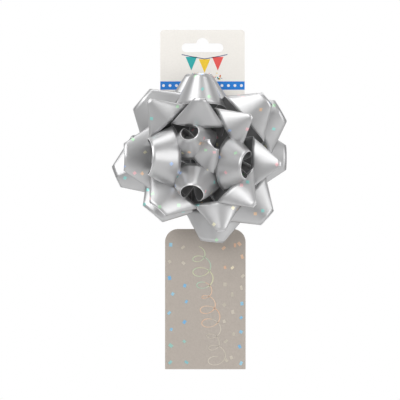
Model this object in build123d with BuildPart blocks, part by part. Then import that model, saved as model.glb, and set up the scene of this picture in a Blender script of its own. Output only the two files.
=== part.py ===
"""A pre-made gift bow on its hang card, with a gift tag hanging below it.

Millimetres.  +X is to the right and +Z is up as the bow hangs in a shop, and the bow stands out towards -Y.
The origin is where the shop's peg carries the card: the top of the hang slot, halfway through the card.
"""

from build123d import *
from math import acos, asin, atan, atan2, cos, hypot, pi, radians, sin
import os

# hang card, with a sombrero slot for a peg
CARD_WIDTH = 65.0
CARD_HEIGHT = 140.0
CARD_THICKNESS = 0.5
CARD_TOP_RADIUS = 2.5
CARD_TOP = 6.1
SLOT_WIDTH = 32.0
SLOT_HEIGHT = 6.7
SLOT_HUMP_RADIUS = 4.8
SLOT_HUMP_RISE = 4.2

# bow base: liner on the card, foam pad, card disc, staple
BOW_X = -1.9
BOW_Z = -92.5
LINER_DIAMETER = 40.0
LINER_THICKNESS = 0.15
LINER_TAB_WIDTH = 12.0
LINER_TAB_REACH = 6.0
PAD_DIAMETER = 34.0
PAD_THICKNESS = 1.2
DISC_DIAMETER = 38.0
DISC_THICKNESS = 0.6

# ribbon
RIBBON_WIDTH = 23.0
RIBBON_THICKNESS = 0.25
FOOT_PITCH = 0.4
FOOT_WIDTH = 5.0
FOOT_GAP = 0.4
FOOT_REACH = 6.0
FOOT_OVERRUN = 4.0
WRAP_ANGLE = 140.0
WRAP_STEPS = 12
FINE_STEPS = 90

# staple through every foot, clinched behind the disc
STAPLE_WIRE = 0.8
STAPLE_SPAN = 4.0
STAPLE_BEND = 0.6
STAPLE_CLINCH = 1.6
STAPLE_HOLE_DIAMETER = 1.0

# gift tag and the moulded loop that carries it
TAG_WIDTH = 62.0
TAG_HEIGHT = 108.0
TAG_THICKNESS = 0.5
TAG_TOP_RADIUS = 10.0
TAG_X = 2.2
TAG_TOP = -147.1
TAG_HOLE_DIAMETER = 2.2
TAG_HOLE_DROP = 3.6
CARD_HOLE_DIAMETER = 2.2
CARD_HOLE_RISE = 4.0
TAG_LOOP_WIRE = 1.0
TAG_LOOP_DEPTH = 6.4
TAG_LOOP_LOCK_DIAMETER = 2.4
TAG_LOOP_LOCK_LENGTH = 4.0
HOLE_CLEARANCE = 0.1

# Each ribbon loop is a strip wrapped round a flattened cone, point outwards, its two tails meeting at the staple.
# azimuth: round the bow from +X towards +Z        tip_radius, tip_height: where the narrow edge's middle lies
# skew: how far the axis turns aside from the bow's centre        point_gap: from the cone's point to the narrow edge
# flatness: the cone's height over its width        lift: how far the loop stands up past the line from the staple
# name           azimuth  tip_radius  tip_height  skew  point_gap  flatness  lift
RIBBON_LOOPS = [
    ("outer_loop_1", 91, 64, 15, 0, 15, 0.3, 0),
    ("outer_loop_2", 135, 63, 21, 5, 15, 0.3, 0),
    ("outer_loop_3", 193, 66, 14, 10, 12, 0.3, 0),
    ("outer_loop_4", 230, 56, 20, 0, 15, 0.3, 0),
    ("outer_loop_5", 278, 65, 14, -14, 13, 0.3, 0),
    ("outer_loop_6", 318, 69, 21, 0, 10, 0.3, 0),
    ("outer_loop_7", 0, 66, 14, 0, 14, 0.3, 0),
    ("outer_loop_8", 30, 71, 21, 0, 13, 0.3, 0),
    ("middle_loop_1", 90, 63, 36, 0, 19, 0.7, 0),
    ("middle_loop_2", 132, 57, 42, 0, 2, 0.3, 0),
    ("middle_loop_3", 180, 57, 34, 0, 15, 0.3, 0),
    ("middle_loop_4", 231, 50, 42, 0, 11, 0.3, 0),
    ("middle_loop_5", 286, 58, 34, -10, 4, 0.35, 0),
    ("middle_loop_6", 318, 55, 42, -5, 2, 0.3, 0),
    ("middle_loop_7", 355, 61, 34, 2, 2, 0.2, 0),
    ("middle_loop_8", 41, 67, 32, 0, 8, 0.3, 0),
    ("middle_loop_9", 38, 49, 44, -9, 2, 0.3, 0),
    ("inner_loop_1", 90, 42, 50, -4, 5.5, 0.4, 0),
    ("inner_loop_2", 180, 35, 54, 0, 30, 0.8, -8),
    ("inner_loop_3", 260, 26, 55, 0, 16, 0.6, -10),
    ("inner_loop_4", 350, 30, 54, 0, 20, 0.7, -8),
    ("centre_loop_1", 111, 17, 56, 0, 12, 0.6, -8),
    ("centre_loop_2", 35, 12, 58, 0, 10, 0.5, 0),
]

CARD_FRONT = -CARD_THICKNESS / 2
PAD_BACK = CARD_FRONT - LINER_THICKNESS
DISC_BACK = PAD_BACK - PAD_THICKNESS
DISC_FRONT = DISC_BACK - DISC_THICKNESS
FOOT_STACK = len(RIBBON_LOOPS) * FOOT_PITCH
FORWARD = Vector(0, -1, 0)
BOW_FOOT = Vector(BOW_X, DISC_FRONT, BOW_Z)

# the slot's bar lies under the hump; the wire hangs in the card's hole, and the tag hangs on the wire's lower bend
SLOT_BAR_Z = -SLOT_HUMP_RISE - SLOT_HEIGHT / 2
CARD_HOLE_Z = CARD_TOP - CARD_HEIGHT + CARD_HOLE_RISE
TAG_HOLE_Z = TAG_TOP - TAG_HOLE_DROP
WIRE_DROP_IN_CARD = CARD_HOLE_DIAMETER / 2 - TAG_LOOP_WIRE / 2 - HOLE_CLEARANCE
WIRE_RISE_IN_TAG = TAG_HOLE_DIAMETER / 2 - TAG_LOOP_WIRE / 2 - HOLE_CLEARANCE
SWING_PIVOT_Z = CARD_HOLE_Z - WIRE_DROP_IN_CARD
TAG_LOOP_REACH = TAG_LOOP_DEPTH / 2
TILT_PIVOT_Z = TAG_HOLE_Z + WIRE_RISE_IN_TAG + TAG_LOOP_REACH


def save(piece, name):
    """Labels a finished piece and writes it."""
    piece.part.label = name
    export_step(piece.part, f"parts/{name}.step")


def facing(y):
    """The plane of the cards at depth y: its x runs along +X, its y along +Z, and it faces forward."""
    return Plane(origin=(0, y, 0), x_dir=(1, 0, 0), z_dir=(0, -1, 0))


def build_hang_card():
    with BuildPart() as card:
        with BuildSketch(facing(CARD_THICKNESS / 2)):
            with Locations((0, CARD_TOP - CARD_HEIGHT / 2)):
                outline = Rectangle(CARD_WIDTH, CARD_HEIGHT)
            fillet(outline.vertices().group_by(Axis.Y)[-1], CARD_TOP_RADIUS)
        extrude(amount=CARD_THICKNESS)
        with BuildSketch(facing(CARD_THICKNESS / 2)):
            with Locations((0, SLOT_BAR_Z)):
                SlotOverall(SLOT_WIDTH, SLOT_HEIGHT)
            with Locations((0, -SLOT_HUMP_RADIUS)):
                Circle(SLOT_HUMP_RADIUS)
            with Locations((TAG_X, CARD_HOLE_Z)):
                Circle(CARD_HOLE_DIAMETER / 2)
        extrude(amount=CARD_THICKNESS, mode=Mode.SUBTRACT)
    save(card, "hang_card")


def build_release_liner():
    with BuildPart() as liner:
        with BuildSketch(facing(CARD_FRONT)):
            with Locations((BOW_X, BOW_Z)):
                Circle(LINER_DIAMETER / 2)
            with Locations((BOW_X, BOW_Z + LINER_DIAMETER / 2)):
                SlotOverall(2 * LINER_TAB_REACH + LINER_TAB_WIDTH, LINER_TAB_WIDTH, rotation=90)
        extrude(amount=LINER_THICKNESS)
    save(liner, "release_liner")


def build_round_layer(name, back, diameter, thickness):
    with BuildPart() as layer:
        with BuildSketch(facing(back)):
            with Locations((BOW_X, BOW_Z)):
                Circle(diameter / 2)
                SlotOverall(STAPLE_SPAN + 2 * STAPLE_WIRE, 1.5 * STAPLE_WIRE, mode=Mode.SUBTRACT)
        extrude(amount=thickness)
    save(layer, name)


def cone_direction(turn, spread, flatness):
    """The unit vector down the cone from its point, in its own axes: along the axis, across, and up."""
    return Vector(-1, spread * sin(turn), spread * flatness * cos(turn)).normalized()


def unrolled_angle(turn, spread, flatness):
    """How far the ruling at this turn lies from the strip's middle, on the cone opened out flat."""
    angle = 0.0
    for step in range(FINE_STEPS):
        start = cone_direction(turn * step / FINE_STEPS, spread, flatness)
        end = cone_direction(turn * (step + 1) / FINE_STEPS, spread, flatness)
        angle += acos(min(1.0, start.dot(end)))
    return angle


def spread_of_cone(tip_distance, point_gap, flatness):
    """The cone's half width per unit length that brings both tails back to the staple behind the loop."""
    wanted = acos((point_gap + RIBBON_WIDTH / 2) / (point_gap + tip_distance))
    low = 0.05
    high = 4.0
    while high - low > 0.001:
        middle = (low + high) / 2
        if unrolled_angle(pi, middle, flatness) < wanted:
            low = middle
        else:
            high = middle
    return low


def ruling_section(near, far, outward):
    """The strip's thin cross-section along one ruling, from its narrow edge to its wide edge."""
    along = far - near
    with BuildSketch(Plane(origin=(near + far) * 0.5, x_dir=along, z_dir=along.cross(outward))) as section:
        Rectangle(along.length, RIBBON_THICKNESS)
    return section.sketch.face()


def build_centre_staple():
    leg = STAPLE_SPAN / 2
    crown = DISC_FRONT - FOOT_STACK - STAPLE_WIRE / 2 - HOLE_CLEARANCE
    clinch = DISC_BACK + STAPLE_WIRE / 2
    clinch_end = leg - STAPLE_CLINCH
    with BuildPart() as staple:
        with BuildLine(Plane(origin=(BOW_X, 0, BOW_Z), x_dir=(1, 0, 0), z_dir=(0, 0, 1))) as wire:
            FilletPolyline(
                (-clinch_end, clinch),
                (-leg, clinch),
                (-leg, crown),
                (leg, crown),
                (leg, clinch),
                (clinch_end, clinch),
                radius=STAPLE_BEND,
            )
        with BuildSketch(Plane(origin=wire.line @ 0, z_dir=wire.line % 0)):
            Circle(STAPLE_WIRE / 2)
        sweep()
    save(staple, "centre_staple")


def build_gift_tag():
    with BuildPart() as tag:
        with BuildSketch(facing(TAG_THICKNESS / 2)):
            with Locations((TAG_X, TAG_TOP - TAG_HEIGHT / 2)):
                outline = Rectangle(TAG_WIDTH, TAG_HEIGHT)
            fillet(outline.vertices().group_by(Axis.Y)[-1], TAG_TOP_RADIUS)
            with Locations((TAG_X, TAG_HOLE_Z)):
                Circle(TAG_HOLE_DIAMETER / 2, mode=Mode.SUBTRACT)
        extrude(amount=TAG_THICKNESS)
    save(tag, "gift_tag")


def build_tag_loop():
    reach = TAG_LOOP_REACH
    top = SWING_PIVOT_Z - reach
    bottom = TILT_PIVOT_Z
    middle = (top + bottom) / 2
    with BuildPart() as tag_loop:
        with BuildLine(Plane(origin=(TAG_X, 0, 0), x_dir=(0, 1, 0), z_dir=(1, 0, 0))) as ring:
            Line((-reach, middle), (-reach, top))
            CenterArc((0, top), reach, 180, -180)
            Line((reach, top), (reach, bottom))
            CenterArc((0, bottom), reach, 0, -180)
            Line((-reach, bottom), (-reach, middle))
        with BuildSketch(Plane(origin=(TAG_X, -reach, middle), z_dir=(0, 0, 1))):
            Circle(TAG_LOOP_WIRE / 2)
        sweep(path=ring.wire())
        with BuildSketch(Plane(origin=(TAG_X, reach, middle - TAG_LOOP_LOCK_LENGTH / 2), z_dir=(0, 0, 1))):
            Circle(TAG_LOOP_LOCK_DIAMETER / 2)
        extrude(amount=TAG_LOOP_LOCK_LENGTH)
    save(tag_loop, "tag_loop")


def build_ribbon_loop(layer, name, azimuth, tip_radius, tip_height, skew, point_gap, flatness, lift):
    radial = Vector(cos(radians(azimuth)), 0, sin(radians(azimuth)))
    heading = Vector(cos(radians(azimuth + skew)), 0, sin(radians(azimuth + skew)))
    sideways = Vector(-heading.Z, 0, heading.X)
    reach = hypot(tip_radius, tip_height)
    spread = spread_of_cone(reach, point_gap, flatness)
    # the cone's back line runs from its point to the foot, before any lift
    rise = atan(spread * flatness)
    lean = atan2(tip_height, tip_radius) - rise + asin(point_gap * sin(2 * rise) / reach) + radians(lift)
    axis = heading * cos(lean) + FORWARD * sin(lean)
    up = FORWARD * cos(lean) - heading * sin(lean)

    def down_cone(turn):
        way = cone_direction(turn, spread, flatness)
        return axis * way.X + sideways * way.Y + up * way.Z

    point = BOW_FOOT + radial * tip_radius + FORWARD * tip_height - down_cone(0) * point_gap
    foot = BOW_FOOT + FORWARD * (layer + 0.5) * FOOT_PITCH
    foot_ends = [foot - radial * FOOT_OVERRUN, foot + radial * FOOT_REACH]
    foot_side = Vector(-radial.Z, 0, radial.X)
    foot_inner = foot_side * FOOT_GAP / 2
    foot_outer = foot_side * (FOOT_GAP / 2 + FOOT_WIDTH)
    sections = [ruling_section(end - foot_inner, end - foot_outer, -FORWARD) for end in foot_ends]
    for step in range(-WRAP_STEPS, WRAP_STEPS + 1):
        turn = radians(WRAP_ANGLE) * step / WRAP_STEPS
        stretch = 1 / cos(unrolled_angle(abs(turn), spread, flatness))
        way = down_cone(turn)
        outward = sideways * sin(turn) * flatness + up * cos(turn)
        near = point + way * point_gap * stretch
        far = point + way * (point_gap + RIBBON_WIDTH) * stretch
        sections.append(ruling_section(near, far, outward))
    sections += [ruling_section(end + foot_inner, end + foot_outer, -FORWARD) for end in reversed(foot_ends)]
    with BuildPart() as loop:
        loft(sections=sections, ruled=True)
        with BuildSketch(facing(DISC_FRONT)):
            with Locations((BOW_X - STAPLE_SPAN / 2, BOW_Z), (BOW_X + STAPLE_SPAN / 2, BOW_Z)):
                Circle(STAPLE_HOLE_DIAMETER / 2)
        extrude(amount=FOOT_STACK, mode=Mode.SUBTRACT)
    save(loop, name)


os.makedirs("parts", exist_ok=True)
build_hang_card()
build_release_liner()
build_round_layer("adhesive_pad", PAD_BACK, PAD_DIAMETER, PAD_THICKNESS)
build_round_layer("base_disc", DISC_BACK, DISC_DIAMETER, DISC_THICKNESS)
for layer, shape in enumerate(RIBBON_LOOPS):
    build_ribbon_loop(layer, *shape)
build_centre_staple()
build_tag_loop()
build_gift_tag()
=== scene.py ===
"""The looks of a pre-made gift bow on its hang card, with a gift tag below it.

Metres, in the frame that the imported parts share: +X to the right, +Z up, and the bow faces -Y.
"""

import math
import random

import bpy
import numpy as np
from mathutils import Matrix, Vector


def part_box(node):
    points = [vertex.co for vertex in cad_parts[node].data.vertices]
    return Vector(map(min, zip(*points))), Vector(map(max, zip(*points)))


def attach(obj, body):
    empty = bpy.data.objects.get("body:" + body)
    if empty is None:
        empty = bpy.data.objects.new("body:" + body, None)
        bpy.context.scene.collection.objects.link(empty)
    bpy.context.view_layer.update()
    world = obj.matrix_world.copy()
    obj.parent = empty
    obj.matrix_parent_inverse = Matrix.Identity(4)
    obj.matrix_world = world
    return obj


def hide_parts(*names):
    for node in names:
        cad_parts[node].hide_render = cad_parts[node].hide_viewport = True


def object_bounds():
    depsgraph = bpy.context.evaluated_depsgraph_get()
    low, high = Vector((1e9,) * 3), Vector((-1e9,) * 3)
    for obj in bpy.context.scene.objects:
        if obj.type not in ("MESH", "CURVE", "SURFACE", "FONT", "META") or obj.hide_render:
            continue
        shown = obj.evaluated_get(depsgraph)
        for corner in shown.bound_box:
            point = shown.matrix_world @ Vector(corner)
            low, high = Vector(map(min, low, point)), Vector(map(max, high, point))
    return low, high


MM = 0.001

# ribbon
RIBBON_WIDTH = 23.0 * MM
RIBBON_THICKNESS = 0.16 * MM
# width of the painted highlight along each edge of the ribbon's faces
EDGE_HIGHLIGHT_BAND = 0.4 * MM
FRONT_ROWS = 20
BACK_ROWS = 30
ACROSS_STEPS = 8
TAIL_OVERRUN = 5 * MM
TAIL_SPACING = 0.5 * MM
FOOT_PITCH = 0.4 * MM
CONE_SAMPLES = 1200
SPREAD_LIMITS = (0.05, 4.0)
SPREAD_TOLERANCE = 0.0005

# where along half a strip, as a share of its length, a change begins or is complete
SQUARE_BY = 0.8
DRAWN_IN_FROM = 0.35
PARTED_FROM = 0.3
PARTED_BY = 0.6

# the step through the clouding and the drawn lines from one loop to the next, so that no two loops match
PATTERN_STEP = 31 * MM

# prints on the boards
PRINT_THICKNESS = 0.04 * MM
PRINT_SINK = 0.02 * MM
BAND_HIGH = -33.5 * MM
BAND_LOW = -39.9 * MM
BAND_MARGIN = 0.01 * MM
BAND_DOTS = 13
BAND_DOT_RADIUS = 1.1 * MM
PENNANT_TOP = -14.6 * MM
PENNANT_HALF_WIDTH = 4.4 * MM
PENNANT_LENGTH = 10.5 * MM
CORD_HALF_WIDTH = 0.3 * MM
CORD_OVER_PENNANTS = 0.2 * MM
CONFETTI_COUNT = 46
CONFETTI_SPAN = (-11 * MM, 15 * MM)
CONFETTI_SIZES = (0.5 * MM, 1.0 * MM)

# The inks' numbers in the hang card's list
BLUE, WHITE, TEAL, YELLOW, CORAL, NAVY = range(6)

# Pennants: mm across from the hang slot's middle, how far below PENNANT_TOP each one hangs, and its ink
PENNANTS = [(-8.6, 0.0, TEAL), (1.6, 1.8, YELLOW), (11.8, 0.0, CORAL)]

# The cord's bends: mm across from the hang slot's middle, and mm above its height at the outer pennants
CORD_BENDS = [(-16.0, 1.6), (-8.6, 0.0), (1.6, -1.8), (11.8, 0.0), (19.2, 1.6)]

# The foil chips: the strip at the gift tag's top that they leave free, their sizes, and how they stray
CHIP_MARGIN = 6 * MM
CHIP_WIDTHS = (1.7 * MM, 2.5 * MM)
CHIP_HEIGHTS = (2.3 * MM, 3.4 * MM)
CHIP_TURNS = (-0.9, 0.9)
CHIP_STRAYS_ACROSS = (-1.5, 1.5)
CHIP_STRAYS_UP = (-2.0, 2.0)

# Short pieces in each loop of the gift tag's flourish
FLOURISH_STEPS = 40

# The foils' numbers in the gift tag's list
BLUE_FOIL, TEAL_FOIL, PEACH_FOIL, CREAM_FOIL, GREEN_FOIL, PALE_FOIL = range(6)

# Columns of foil chips on the tag: mm from its left side, how many, and the foils to pick from going down
TAG_CHIP_COLUMNS = [
    (4.5, 8, [[BLUE_FOIL, PALE_FOIL], [BLUE_FOIL], [BLUE_FOIL], [TEAL_FOIL]]),
    (15.0, 7, [[PALE_FOIL, TEAL_FOIL], [BLUE_FOIL], [BLUE_FOIL, TEAL_FOIL], [TEAL_FOIL]]),
    (46.5, 7, [[PEACH_FOIL], [PEACH_FOIL, PALE_FOIL], [PALE_FOIL], [PALE_FOIL]]),
    (52.5, 6, [[PEACH_FOIL, CREAM_FOIL], [PALE_FOIL, CREAM_FOIL], [PALE_FOIL]]),
    (58.5, 9, [[PEACH_FOIL], [CREAM_FOIL, PALE_FOIL], [BLUE_FOIL, CREAM_FOIL], [BLUE_FOIL], [BLUE_FOIL]]),
]

# Each loop is a strip wrapped round a flattened cone, point outwards, its two tails crossing at the staple.
# azimuth: round the bow from +X towards +Z        radius, height: where the narrow edge's middle lies, in mm
# skew: how far the axis turns aside, degrees      gap: from the cone's point to the narrow edge, in mm
# flat: the cone's height over its width           fold: 2 for a round cone, less for a creased one
# lift: how far the loop stands up past the line from the staple, degrees
# node             azimuth radius height skew  gap  flat  fold  lift
RIBBON_LOOPS = [
    ("outer_loop_1", 91, 64, 15, 0, 15, 0.30, 1.7, 0),
    ("outer_loop_2", 135, 63, 21, 5, 15, 0.30, 1.5, 0),
    ("outer_loop_3", 193, 66, 14, 10, 12, 0.30, 1.3, 0),
    ("outer_loop_4", 230, 56, 20, 0, 15, 0.30, 1.6, 0),
    ("outer_loop_5", 278, 65, 14, -14, 13, 0.30, 1.5, 0),
    ("outer_loop_6", 318, 69, 21, 0, 10, 0.30, 1.5, 0),
    ("outer_loop_7", 0, 66, 14, 0, 14, 0.30, 1.7, 0),
    ("outer_loop_8", 30, 71, 21, 0, 13, 0.30, 1.5, 0),
    ("middle_loop_1", 90, 63, 36, 0, 14, 0.85, 2.0, 0),
    ("middle_loop_2", 132, 57, 42, 0, 2, 0.30, 1.7, 0),
    ("middle_loop_3", 180, 57, 34, 0, 15, 0.30, 1.6, 0),
    ("middle_loop_4", 231, 50, 42, 0, 11, 0.30, 1.7, 0),
    ("middle_loop_5", 286, 58, 34, -10, 4, 0.35, 1.7, 0),
    ("middle_loop_6", 318, 55, 42, -5, 2, 0.30, 1.7, 0),
    ("middle_loop_7", 355, 61, 35, 2, 2, 0.20, 1.7, 0),
    ("middle_loop_8", 41, 67, 32, 0, 8, 0.30, 1.7, 0),
    ("middle_loop_9", 38, 49, 44, -9, 2, 0.30, 1.7, 0),
    ("inner_loop_1", 90, 43, 50, -4, 5.5, 0.40, 1.8, 0),
    ("inner_loop_2", 180, 35, 54, 0, 28, 0.80, 2.0, -10),
    ("inner_loop_3", 258, 22, 56, 0, 18, 0.95, 2.0, 8),
    ("inner_loop_4", 350, 31, 54, 0, 20, 0.80, 2.0, 4),
    ("centre_loop_1", 113, 14, 57, 0, 13, 0.90, 2.0, 10),
    ("centre_loop_2", 40, 12, 54, 0, 8, 0.50, 2.0, -8),
]

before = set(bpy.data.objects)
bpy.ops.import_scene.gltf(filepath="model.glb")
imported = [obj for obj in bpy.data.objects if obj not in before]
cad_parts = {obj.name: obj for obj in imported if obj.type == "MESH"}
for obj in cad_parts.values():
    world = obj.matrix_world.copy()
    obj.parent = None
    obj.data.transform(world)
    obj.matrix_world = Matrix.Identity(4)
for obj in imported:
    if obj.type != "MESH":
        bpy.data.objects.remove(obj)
cad_low, cad_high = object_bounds()


# ---------------------------------------------------------------- materials


def new_material(name):
    """A node material with a Principled shader, and the three things that every material here uses."""
    material = bpy.data.materials.new(name)
    material.use_nodes = True
    nodes = material.node_tree.nodes
    return material, nodes, material.node_tree.links, nodes["Principled BSDF"]


def add_node(nodes, kind, settings=(), inputs=()):
    """A node of this kind, with its own properties and its unlinked inputs set."""
    node = nodes.new(kind)
    for key, value in dict(settings).items():
        setattr(node, key, value)
    for key, value in dict(inputs).items():
        node.inputs[key].default_value = value
    return node


def colour(red, green, blue):
    """An opaque linear colour."""
    return (red, green, blue, 1.0)


def colour_ramp(nodes, stops, interpolation="LINEAR"):
    """A colour ramp with a stop for each (position, colour)."""
    ramp = nodes.new("ShaderNodeValToRGB")
    ramp.color_ramp.interpolation = interpolation
    elements = ramp.color_ramp.elements
    while len(elements) < len(stops):
        elements.new(1.0)
    for element, (position, value) in zip(elements, stops):
        element.position = position
        element.color = value
    return ramp


# ---------------------------------------------------------------- ribbon


FLECK_COLOURS = [
    (0.0, colour(0.36, 0.74, 0.70)),
    (0.17, colour(0.52, 0.76, 0.54)),
    (0.34, colour(0.90, 0.58, 0.60)),
    (0.50, colour(0.92, 0.66, 0.46)),
    (0.67, colour(0.48, 0.62, 0.90)),
    (0.84, colour(0.92, 0.88, 0.66)),
]


def ribbon_material(name, tone, metallic, roughness, flecks):
    """Satin silver film with fine drawn lines, clouding, sparse iridescent flecks and a painted highlight
    along its edges.
    """
    material, nodes, links, shader = new_material(name)
    strip = add_node(nodes, "ShaderNodeAttribute", {"attribute_name": "strip"})

    clouding = add_node(nodes, "ShaderNodeTexNoise", inputs={"Scale": 60.0, "Detail": 3.0})
    links.new(strip.outputs["Vector"], clouding.inputs["Vector"])
    dull = colour(tone * 0.93, tone * 0.93, tone * 0.94)
    clear = colour(tone, tone, tone * 1.005)
    shade = colour_ramp(nodes, [(0.3, dull), (0.7, clear)])
    links.new(clouding.outputs["Fac"], shade.inputs["Fac"])

    flat_cells = {"distance": "MANHATTAN", "voronoi_dimensions": "2D"}
    cells = add_node(nodes, "ShaderNodeTexVoronoi", flat_cells, {"Scale": 190.0})
    links.new(strip.outputs["Vector"], cells.inputs["Vector"])
    pick = add_node(nodes, "ShaderNodeSeparateColor")
    links.new(cells.outputs["Color"], pick.inputs["Color"])
    chosen = add_node(nodes, "ShaderNodeMath", {"operation": "LESS_THAN"}, {1: flecks})
    links.new(pick.outputs["Red"], chosen.inputs[0])
    near = add_node(nodes, "ShaderNodeMath", {"operation": "LESS_THAN"}, {1: 0.32})
    links.new(cells.outputs["Distance"], near.inputs[0])
    is_fleck = add_node(nodes, "ShaderNodeMath", {"operation": "MULTIPLY"})
    links.new(chosen.outputs[0], is_fleck.inputs[0])
    links.new(near.outputs[0], is_fleck.inputs[1])
    fleck_colour = colour_ramp(nodes, FLECK_COLOURS, "CONSTANT")
    links.new(pick.outputs["Green"], fleck_colour.inputs["Fac"])
    fleck_mix = add_node(nodes, "ShaderNodeMix", {"data_type": "RGBA"})
    links.new(is_fleck.outputs[0], fleck_mix.inputs["Factor"])
    links.new(shade.outputs["Color"], fleck_mix.inputs["A"])
    links.new(fleck_colour.outputs["Color"], fleck_mix.inputs["B"])

    place = add_node(nodes, "ShaderNodeSeparateXYZ")
    links.new(strip.outputs["Vector"], place.inputs["Vector"])
    off_middle = add_node(nodes, "ShaderNodeMath", {"operation": "ABSOLUTE"})
    links.new(place.outputs["Y"], off_middle.inputs[0])
    # a band along each edge is painted almost white: a painted highlight of light coming through the film's
    # edge
    highlight_start = RIBBON_WIDTH / 2 - EDGE_HIGHLIGHT_BAND
    is_edge_highlight = add_node(nodes, "ShaderNodeMath", {"operation": "GREATER_THAN"}, {1: highlight_start})
    links.new(off_middle.outputs[0], is_edge_highlight.inputs[0])
    edge_highlight_mix = add_node(nodes, "ShaderNodeMix", {"data_type": "RGBA"}, {"B": colour(0.95, 0.95, 0.96)})
    links.new(is_edge_highlight.outputs[0], edge_highlight_mix.inputs["Factor"])
    links.new(fleck_mix.outputs["Result"], edge_highlight_mix.inputs["A"])
    links.new(edge_highlight_mix.outputs["Result"], shader.inputs["Base Color"])

    lines = add_node(nodes, "ShaderNodeMapping")
    lines.inputs["Scale"].default_value = (0.06, 1.0, 1.0)
    links.new(strip.outputs["Vector"], lines.inputs["Vector"])
    drawn = add_node(nodes, "ShaderNodeTexNoise", inputs={"Scale": 2600.0, "Detail": 2.0})
    links.new(lines.outputs["Vector"], drawn.inputs["Vector"])
    bump = add_node(nodes, "ShaderNodeBump", inputs={"Strength": 0.12, "Distance": 0.0001})
    links.new(drawn.outputs["Fac"], bump.inputs["Height"])
    links.new(bump.outputs["Normal"], shader.inputs["Normal"])

    gloss_range = {"To Min": roughness - 0.04, "To Max": roughness + 0.05}
    gloss = add_node(nodes, "ShaderNodeMapRange", inputs=gloss_range)
    links.new(clouding.outputs["Fac"], gloss.inputs["Value"])
    links.new(gloss.outputs["Result"], shader.inputs["Roughness"])
    shader.inputs["Metallic"].default_value = metallic
    shader.inputs["Coat Weight"].default_value = 0.25
    shader.inputs["Coat Roughness"].default_value = 0.18
    return material


def rim_highlight_material():
    """The film's cut edge, painted almost white as a highlight of light coming through the film's edge."""
    material, nodes, links, shader = new_material("ribbon_rim_highlight")
    noise = add_node(nodes, "ShaderNodeTexNoise", inputs={"Scale": 900.0})
    # near-white colour on the cut edge: a painted highlight
    ramp = colour_ramp(nodes, [(0.3, colour(0.88, 0.88, 0.89)), (0.7, colour(0.97, 0.97, 0.98))])
    links.new(noise.outputs["Fac"], ramp.inputs["Fac"])
    links.new(ramp.outputs["Color"], shader.inputs["Base Color"])
    shader.inputs["Roughness"].default_value = 0.35
    return material


def half_cone(spread, flat, fold):
    """Unit directions down one side of a cone from its point, and the angle of each once opened out flat.

    The directions are in (along, across, up).
    """
    turn = np.linspace(0.0, math.pi, CONE_SAMPLES)
    across = spread * np.abs(np.sin(turn)) ** (2 / fold)
    up = spread * flat * np.sign(np.cos(turn)) * np.abs(np.cos(turn)) ** (2 / fold)
    ways = np.stack([-np.ones_like(turn), across, up], axis=1)
    ways /= np.linalg.norm(ways, axis=1, keepdims=True)
    steps = np.linalg.norm(np.diff(ways, axis=0), axis=1)
    return ways, np.concatenate([[0.0], np.cumsum(steps)])


def fitted_cone(reach, gap, flat, fold):
    """The half cone on which a straight strip's two tails cross at this reach behind its narrow edge."""
    wanted = math.acos((gap + RIBBON_WIDTH / 2) / (gap + reach))
    low, high = SPREAD_LIMITS
    while high - low > SPREAD_TOLERANCE:
        spread = (low + high) / 2
        if half_cone(spread, flat, fold)[1][-1] < wanted:
            low = spread
        else:
            high = spread
    return low, *half_cone(low, flat, fold)


def smooth(value, start, end):
    """0 before start, 1 after end, and a smooth step between."""
    share = np.clip((value - start) / (end - start), 0.0, 1.0)
    return share * share * (3 - 2 * share)


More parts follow.
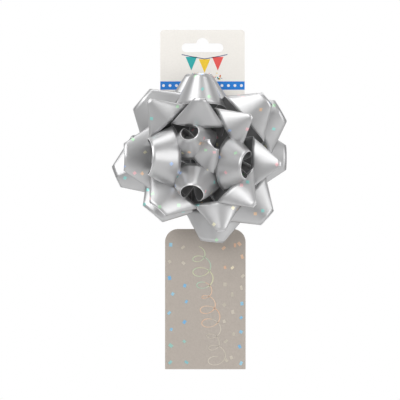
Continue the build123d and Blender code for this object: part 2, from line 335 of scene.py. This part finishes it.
def loop_surface(foot, azimuth, radius, height, skew, gap, flat, fold, lift):
    """One ribbon loop's middle surface, as a grid of points, along by across.

    Also gives where each point lies on the flat strip, and half the strip's length.
    """
    reach = math.hypot(radius, height)
    spread, ways, angles = fitted_cone(reach, gap, flat, fold)
    rise = math.atan(spread * flat)
    to_edge = math.atan2(height, radius)
    lean = to_edge - rise + math.asin(gap * math.sin(2 * rise) / reach) + math.radians(lift)

    heading = math.radians(azimuth + skew)
    forward = np.array([0.0, -1.0, 0.0])
    outwards = np.array([math.cos(heading), 0.0, math.sin(heading)])
    sideways = np.array([-math.sin(heading), 0.0, math.cos(heading)])
    axis = outwards * math.cos(lean) + forward * math.sin(lean)
    up = forward * math.cos(lean) - outwards * math.sin(lean)
    axes = np.stack([axis, sideways, up])

    # rows are the cone's own straight lines up to each crease, and turn square to the strip by its ends
    middle = gap + RIBBON_WIDTH / 2
    half_length = math.sqrt((gap + reach) ** 2 - middle**2) + TAIL_OVERRUN
    crease = np.interp(math.pi / 2, np.linspace(0.0, math.pi, CONE_SAMPLES), angles)
    front = middle * np.tan(np.linspace(0.0, crease, FRONT_ROWS + 1))
    back = np.linspace(front[-1], half_length, BACK_ROWS + 1)
    half = np.concatenate([front, back[1:]])
    run = np.concatenate([-half[:0:-1], half])[:, None]
    across = np.linspace(-RIBBON_WIDTH / 2, RIBBON_WIDTH / 2, ACROSS_STEPS + 1)[None, :]
    slant = 1.0 - smooth(np.abs(run), front[-1], SQUARE_BY * half_length)
    along = run * (1.0 + slant * across / middle)
    angle = np.arctan2(along, middle + across)
    distance = np.hypot(along, middle + across)
    past = np.abs(angle) > angles[-1]
    opened = np.where(past, 2 * angles[-1] - np.abs(angle), np.abs(angle))
    way = np.stack([np.interp(opened, angles, ways[:, k]) for k in range(3)], axis=-1)
    way /= np.linalg.norm(way, axis=-1, keepdims=True)
    side = np.where(angle < 0, -1.0, 1.0)
    way[..., 1] *= np.where(past, -side, side)

    bearing = math.radians(azimuth)
    edge = np.array([math.cos(bearing), 0.0, math.sin(bearing)]) * radius + forward * height
    point = foot + edge - ways[0] @ axes * gap
    points = point + (way @ axes) * distance[..., None]

    # the two tails are drawn to the staple, kept apart, and pressed flat on the disc
    down = np.abs(along)
    crossing = point + (ways[-1] @ axes) * (gap + reach)
    drawn_in = smooth(down, DRAWN_IN_FROM * half_length, half_length - TAIL_OVERRUN)
    points += (foot - crossing) * drawn_in[..., None]
    parted = side * smooth(down, PARTED_FROM * half_length, PARTED_BY * half_length)
    points += forward * (parted * TAIL_SPACING / 2)[..., None]
    deepest = foot[1] - side * TAIL_SPACING / 4
    points[..., 1] = np.minimum(points[..., 1], deepest)
    flat_place = np.stack(np.broadcast_arrays(along, across, 0.0), axis=-1)
    return points, flat_place, half_length


def surface_normals(points):
    """Unit normals of a grid of points."""
    normals = np.cross(np.gradient(points, axis=0), np.gradient(points, axis=1))
    return normals / np.linalg.norm(normals, axis=-1, keepdims=True)


def strip_mesh(name, points, flat_place, materials):
    """A closed thin strip about a grid of points: outer face, inner face and cut rim, in three materials."""
    rows, columns = points.shape[:2]
    offset = surface_normals(points) * RIBBON_THICKNESS / 2
    inner_first = rows * columns
    vertices = np.concatenate([(points + offset).reshape(-1, 3), (points - offset).reshape(-1, 3)])
    places = np.concatenate([flat_place.reshape(-1, 3)] * 2)

    def at(row, column):
        return row * columns + column

    faces, slots = [], []
    for row in range(rows - 1):
        for column in range(columns - 1):
            ring = [at(row, column), at(row + 1, column)]
            ring += [at(row + 1, column + 1), at(row, column + 1)]
            faces.append(ring)
            slots.append(0)
            faces.append([inner_first + k for k in reversed(ring)])
            slots.append(1)
    border = [at(row, 0) for row in range(rows)]
    border += [at(rows - 1, column) for column in range(1, columns)]
    border += [at(row, columns - 1) for row in range(rows - 2, -1, -1)]
    border += [at(0, column) for column in range(columns - 2, 0, -1)]
    for here, there in zip(border, border[1:] + border[:1]):
        faces.append([there, here, inner_first + here, inner_first + there])
        slots.append(2)

    mesh = bpy.data.meshes.new(name)
    mesh.from_pydata(vertices.tolist(), [], faces)
    for material in materials:
        mesh.materials.append(material)
    mesh.polygons.foreach_set("material_index", slots)
    mesh.polygons.foreach_set("use_smooth", [slot < 2 for slot in slots])
    mesh.attributes.new("strip", "FLOAT_VECTOR", "POINT").data.foreach_set("vector", places.ravel())
    mesh.update()
    return mesh


def add_piece(name, mesh, body, slot, *nodes):
    """Puts a mesh in the scene as a piece that rides a body and stands for these CAD nodes."""
    piece = bpy.data.objects.new(name, mesh)
    bpy.context.scene.collection.objects.link(piece)
    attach(piece, body)
    if nodes:
        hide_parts(*nodes)
    return piece


def build_bow():
    """The ribbon loops, stacked from the disc outwards in the order of their table."""
    low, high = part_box("base_disc")
    middle = np.array([(low[0] + high[0]) / 2, low[1], (low[2] + high[2]) / 2])
    materials = [
        ribbon_material("ribbon_face", tone=0.57, metallic=0.92, roughness=0.40, flecks=0.12),
        # the inner face is a little darker than the outer: partly the film's duller back, partly painted
        # shade for the loops' insides
        ribbon_material("ribbon_back", tone=0.50, metallic=0.85, roughness=0.42, flecks=0.06),
        rim_highlight_material(),
    ]
    place_on_reel = 0.0
    for layer, loop in enumerate(RIBBON_LOOPS):
        node, azimuth, radius, height, skew, gap, flat, fold, lift = loop
        foot = middle + np.array([0.0, -(layer + 0.5) * FOOT_PITCH, 0.0])
        points, flat_place, half_length = loop_surface(
            foot, azimuth, radius * MM, height * MM, skew, gap * MM, flat, fold, lift
        )
        flat_place = flat_place + np.array([place_on_reel + half_length, 0.0, layer * PATTERN_STEP])
        place_on_reel += 2 * half_length
        mesh = strip_mesh(node + "_film", points, flat_place, materials)
        piece = add_piece(node + "_film", mesh, "bow_on_card", "ribbon", node)


# ---------------------------------------------------------------- boards and small parts


def board_material(name, base, fibre, roughness, bump_strength, sockets=()):
    """A faintly mottled material with a fine surface; sockets sets more of the shader's own inputs."""
    material, nodes, links, shader = new_material(name)
    coordinates = add_node(nodes, "ShaderNodeTexCoord")
    noise = add_node(nodes, "ShaderNodeTexNoise", inputs={"Scale": 700.0, "Detail": 5.0})
    links.new(coordinates.outputs["Object"], noise.inputs["Vector"])
    ramp = colour_ramp(nodes, [(0.3, base), (0.7, fibre)])
    links.new(noise.outputs["Fac"], ramp.inputs["Fac"])
    links.new(ramp.outputs["Color"], shader.inputs["Base Color"])
    bump = add_node(nodes, "ShaderNodeBump", inputs={"Strength": bump_strength, "Distance": 0.0001})
    links.new(noise.outputs["Fac"], bump.inputs["Height"])
    links.new(bump.outputs["Normal"], shader.inputs["Normal"])
    shader.inputs["Roughness"].default_value = roughness
    for socket, value in dict(sockets).items():
        shader.inputs[socket].default_value = value
    return material


def finish_node(node, material):
    """Gives a kept CAD node its material."""
    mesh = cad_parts[node].data
    mesh.materials.clear()
    mesh.materials.append(material)


def printed_ink(name, base, roughness):
    """Flat ink with a faint grain."""
    return board_material(name, base, colour(*[0.94 * c for c in base[:3]]), roughness, 0.02)


def foil(name, base, tint, metallic):
    """Hot-stamped foil that turns from one pastel to another over a few centimetres."""
    material, nodes, links, shader = new_material(name)
    coordinates = add_node(nodes, "ShaderNodeTexCoord")
    drift = add_node(nodes, "ShaderNodeTexNoise", inputs={"Scale": 70.0, "Detail": 1.0})
    links.new(coordinates.outputs["Object"], drift.inputs["Vector"])
    ramp = colour_ramp(nodes, [(0.4, base), (0.6, tint)])
    links.new(drift.outputs["Fac"], ramp.inputs["Fac"])
    links.new(ramp.outputs["Color"], shader.inputs["Base Color"])
    shader.inputs["Metallic"].default_value = metallic
    shader.inputs["Roughness"].default_value = 0.3
    return material


def print_layer(name, shapes, materials, front, body, slot):
    """A thin layer on a board's front, of shapes: each a ring of (x, z) points and a material's number."""
    vertices, faces, slots = [], [], []
    for ring, number in shapes:
        first, count = len(vertices), len(ring)
        vertices += [(x, front - PRINT_THICKNESS, z) for x, z in ring]
        vertices += [(x, front + PRINT_SINK, z) for x, z in ring]
        faces.append([first + k for k in range(count)])
        faces.append([first + count + k for k in reversed(range(count))])
        for k in range(count):
            step = (k + 1) % count
            faces.append([first + step, first + k, first + count + k, first + count + step])
        slots += [number] * (count + 2)
    mesh = bpy.data.meshes.new(name)
    mesh.from_pydata(vertices, [], faces)
    for material in materials:
        mesh.materials.append(material)
    mesh.polygons.foreach_set("material_index", slots)
    mesh.update()
    add_piece(name, mesh, body, slot)


def rectangle(low_x, high_x, low_z, high_z):
    """An upright rectangle's corners."""
    return [(low_x, low_z), (high_x, low_z), (high_x, high_z), (low_x, high_z)]


def chip(x, z, width, height, turn):
    """A small turned rectangle."""
    along = Vector((math.cos(turn), math.sin(turn))) * width / 2
    aside = Vector((-math.sin(turn), math.cos(turn))) * height / 2
    corners = [-along - aside, along - aside, along + aside, -along + aside]
    return [(x + corner.x, z + corner.y) for corner in corners]


def disc(x, z, radius, sides=20):
    """A ring of points round a centre."""
    turns = [math.tau * k / sides for k in range(sides)]
    return [(x + radius * math.cos(turn), z + radius * math.sin(turn)) for turn in turns]


def print_hang_card():
    """A row of pennants over confetti, and a coloured band with a row of dots."""
    low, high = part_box("hang_card")
    inks = [
        printed_ink("ink_blue", colour(0.0, 0.20, 0.68), 0.45),
        printed_ink("ink_white", colour(0.92, 0.92, 0.92), 0.4),
        printed_ink("ink_teal", colour(0.02, 0.42, 0.42), 0.35),
        printed_ink("ink_yellow", colour(0.93, 0.62, 0.03), 0.35),
        printed_ink("ink_coral", colour(0.85, 0.10, 0.09), 0.35),
        printed_ink("ink_navy", colour(0.02, 0.05, 0.20), 0.35),
    ]
    band = rectangle(low.x + BAND_MARGIN, high.x - BAND_MARGIN, BAND_LOW, BAND_HIGH)
    print_layer("card_print_band", [(band, BLUE)], inks, low.y, "bow_on_card", "printed_card")

    pitch = (high.x - low.x) / BAND_DOTS
    band_middle = (BAND_LOW + BAND_HIGH) / 2
    shapes = []
    for k in range(BAND_DOTS):
        shapes.append((disc(low.x + (k + 0.5) * pitch, band_middle, BAND_DOT_RADIUS), WHITE))
    print_layer("card_print_dots", shapes, inks, low.y - PRINT_THICKNESS, "bow_on_card", "printed_card")

    shapes = []
    for place, sag, ink in PENNANTS:
        x = place * MM
        top = PENNANT_TOP - sag * MM
        corners = [(x - PENNANT_HALF_WIDTH, top), (x, top - PENNANT_LENGTH), (x + PENNANT_HALF_WIDTH, top)]
        shapes.append((corners, ink))
    cord_z = PENNANT_TOP + CORD_OVER_PENNANTS
    line = [(place * MM, cord_z + rise * MM) for place, rise in CORD_BENDS]
    for (x0, z0), (x1, z1) in zip(line, line[1:]):
        below = [(x0, z0 - CORD_HALF_WIDTH), (x1, z1 - CORD_HALF_WIDTH)]
        above = [(x1, z1 + CORD_HALF_WIDTH), (x0, z0 + CORD_HALF_WIDTH)]
        shapes.append((below + above, NAVY))
    scatter = random.Random(5)
    for _ in range(CONFETTI_COUNT):
        x = scatter.uniform(*CONFETTI_SPAN)
        z = scatter.uniform(BAND_HIGH + 1.5 * MM, PENNANT_TOP - 12.5 * MM)
        size = scatter.uniform(*CONFETTI_SIZES)
        turn = scatter.uniform(0, math.pi)
        ink = scatter.choice([BLUE, TEAL, YELLOW, CORAL, NAVY])
        shapes.append((chip(x, z, size, size, turn), ink))
    print_layer("card_print_pennants", shapes, inks, low.y, "bow_on_card", "printed_card")


def flourish(low, high, start_x, end_x, loops, amplitude, width):
    """A pen-like line of growing and shrinking loops from high to low, as short quads in three foils."""
    count = FLOURISH_STEPS * loops
    points = []
    for k in range(count + 1):
        share = k / count
        turn = math.tau * loops * share
        size = amplitude * (0.45 + 0.55 * abs(math.sin(math.pi * share * 2.5)))
        x = start_x + (end_x - start_x) * share + size * math.sin(turn)
        z = high + (low - high) * share + 0.75 * size * math.cos(turn)
        points.append(Vector((x, z)))
    shapes = []
    for k, (here, there) in enumerate(zip(points, points[1:])):
        aside = Vector((-(there - here).y, (there - here).x)).normalized()
        aside *= width * (0.45 + 0.55 * abs(math.sin(math.tau * k / FLOURISH_STEPS)))
        ring = [here - aside / 2, there - aside / 2, there + aside / 2, here + aside / 2]
        shapes.append(([(p.x, p.y) for p in ring], 3 * k // count))
    return shapes


def print_gift_tag():
    """Pastel foil chips in five loose columns, two to the left and three to the right of a flourish."""
    low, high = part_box("gift_tag")
    foils = [
        foil("foil_blue", colour(0.22, 0.50, 0.80), colour(0.38, 0.66, 0.80), 0.3),
        foil("foil_teal", colour(0.28, 0.58, 0.62), colour(0.36, 0.62, 0.56), 0.3),
        foil("foil_peach", colour(0.82, 0.52, 0.36), colour(0.80, 0.60, 0.45), 0.3),
        foil("foil_cream", colour(0.90, 0.80, 0.60), colour(0.85, 0.84, 0.74), 0.3),
        foil("foil_green", colour(0.50, 0.66, 0.52), colour(0.72, 0.72, 0.48), 0.3),
        foil("foil_pale", colour(0.62, 0.57, 0.48), colour(0.70, 0.64, 0.55), 0.4),
    ]
    scatter = random.Random(11)
    shapes = []

    def add_chip(x, z, choices):
        width = scatter.uniform(*CHIP_WIDTHS)
        turn = scatter.uniform(*CHIP_TURNS)
        height = scatter.uniform(*CHIP_HEIGHTS)
        shapes.append((chip(x, z, width, height, turn), scatter.choice(choices)))

    for column, rows, picks in TAG_CHIP_COLUMNS:
        step = (high.z - low.z - CHIP_MARGIN) / rows
        for k in range(rows):
            share = (k + 0.5) / rows
            x = low.x + column * MM + scatter.uniform(*CHIP_STRAYS_ACROSS) * MM
            z = high.z - CHIP_MARGIN - (k + 0.5) * step + scatter.uniform(*CHIP_STRAYS_UP) * MM
            add_chip(x, z, picks[min(int(share * len(picks)), len(picks) - 1)])
    print_layer("tag_foil_chips", shapes, foils, low.y, "gift_tag", "tag_board")

    line = flourish(
        low=low.z + 4 * MM,
        high=high.z - 16 * MM,
        start_x=low.x + 26 * MM,
        end_x=low.x + 41 * MM,
        loops=9,
        amplitude=7.5 * MM,
        width=0.8 * MM,
    )
    line_foils = [foils[GREEN_FOIL], foils[PEACH_FOIL], foils[PALE_FOIL]]
    print_layer("tag_foil_flourish", line, line_foils, low.y, "gift_tag", "tag_board")


def build_small_parts():
    """Materials for the CAD nodes that are kept, and the prints on the two boards."""
    card_base, card_fibre = colour(0.87, 0.84, 0.79), colour(0.90, 0.87, 0.82)
    finish_node("hang_card", board_material("card_board", card_base, card_fibre, 0.45, 0.05))
    tag_base, tag_fibre = colour(0.42, 0.375, 0.33), colour(0.46, 0.41, 0.365)
    finish_node("gift_tag", board_material("tag_board", tag_base, tag_fibre, 0.5, 0.08))
    liner_base, liner_fibre = colour(0.88, 0.86, 0.78), colour(0.92, 0.90, 0.84)
    finish_node("release_liner", board_material("liner", liner_base, liner_fibre, 0.3, 0.03))
    foam_base, foam_cells = colour(0.82, 0.82, 0.80), colour(0.90, 0.90, 0.88)
    finish_node("adhesive_pad", board_material("foam", foam_base, foam_cells, 0.9, 0.6))
    disc_base, disc_fibre = colour(0.84, 0.84, 0.83), colour(0.90, 0.90, 0.89)
    finish_node("base_disc", board_material("disc_board", disc_base, disc_fibre, 0.6, 0.1))
    zinc_dull, zinc_bright = colour(0.6, 0.6, 0.62), colour(0.7, 0.7, 0.72)
    finish_node(
        "centre_staple",
        board_material("staple", zinc_dull, zinc_bright, 0.3, 0.1, {"Metallic": 1.0}),
    )
    nylon_base, nylon_haze = colour(0.85, 0.87, 0.88), colour(0.9, 0.92, 0.93)
    finish_node(
        "tag_loop",
        board_material("nylon", nylon_base, nylon_haze, 0.25, 0.02, {"Transmission Weight": 0.6}),
    )
    print_hang_card()
    print_gift_tag()


# ---------------------------------------------------------------- stage, light and camera

VIEW_WIDTH = 0.308
VIEW_DISTANCE = 1.6
SENSOR_WIDTH = 36.0
VIEW_CENTRE = Vector((-0.0019, 0.0, -0.1248))
FLOOR_DROP = 0.085


def area_light(name, place, aim, size, power):
    """A rectangular light at a place, turned towards another."""
    light = bpy.data.lights.new(name, "AREA")
    light.shape = "RECTANGLE"
    light.size, light.size_y = size
    light.energy = power
    lamp = bpy.data.objects.new(name, light)
    bpy.context.scene.collection.objects.link(lamp)
    lamp.location = place
    lamp.rotation_euler = (Vector(aim) - Vector(place)).to_track_quat("-Z", "Y").to_euler()


def build_stage():
    """A pale floor, a world that is white to the camera but mirrored dimmer in front, and three lights."""
    bpy.ops.mesh.primitive_circle_add(vertices=96, radius=0.5, fill_type="NGON")
    floor = bpy.context.object
    floor.name = "floor"
    floor.location = (0.0, 0.0, cad_low[2] - FLOOR_DROP)
    paper = board_material("floor_paper", colour(0.86, 0.86, 0.86), colour(0.9, 0.9, 0.9), 0.8, 0.02)
    floor.data.materials.append(paper)

    world = bpy.data.worlds.new("studio")
    world.use_nodes = True
    nodes, links = world.node_tree.nodes, world.node_tree.links
    sky = nodes["Background"]
    sky.inputs["Color"].default_value = colour(1.0, 1.0, 1.0)
    direction = add_node(nodes, "ShaderNodeTexCoord")
    parts = add_node(nodes, "ShaderNodeSeparateXYZ")
    links.new(direction.outputs["Generated"], parts.inputs["Vector"])
    behind = {"From Min": -0.1, "From Max": 0.7, "To Min": 0.43, "To Max": 1.0}
    glow = add_node(nodes, "ShaderNodeMapRange", inputs=behind)
    links.new(parts.outputs["Y"], glow.inputs["Value"])
    path = add_node(nodes, "ShaderNodeLightPath")
    strength = add_node(nodes, "ShaderNodeMath", {"operation": "MAXIMUM"})
    links.new(path.outputs["Is Camera Ray"], strength.inputs[0])
    links.new(glow.outputs["Result"], strength.inputs[1])
    links.new(strength.outputs[0], sky.inputs["Strength"])
    bpy.context.scene.world = world
    bpy.context.scene.view_settings.view_transform = "Standard"

    bow = (0.0, -0.03, -0.09)
    area_light("key", (-0.5, -0.95, 0.45), bow, (0.9, 0.9), 7.0)
    area_light("fill", (0.85, -0.9, 0.0), bow, (0.5, 0.9), 3.6)
    area_light("top", (0.1, -0.15, 0.9), bow, (0.8, 0.6), 3.0)


def build_camera():
    """A long lens straight in front."""
    camera = bpy.data.cameras.new("camera")
    camera.sensor_width = SENSOR_WIDTH
    camera.lens = SENSOR_WIDTH * VIEW_DISTANCE / VIEW_WIDTH
    camera.clip_start = 0.05
    camera.clip_end = 20.0
    eye = bpy.data.objects.new("camera", camera)
    bpy.context.scene.collection.objects.link(eye)
    eye.location = VIEW_CENTRE - Vector((0.0, VIEW_DISTANCE, 0.0))
    eye.rotation_euler = (math.pi / 2, 0.0, 0.0)
    bpy.context.scene.camera = eye


build_camera()
build_bow()
build_small_parts()
build_stage()
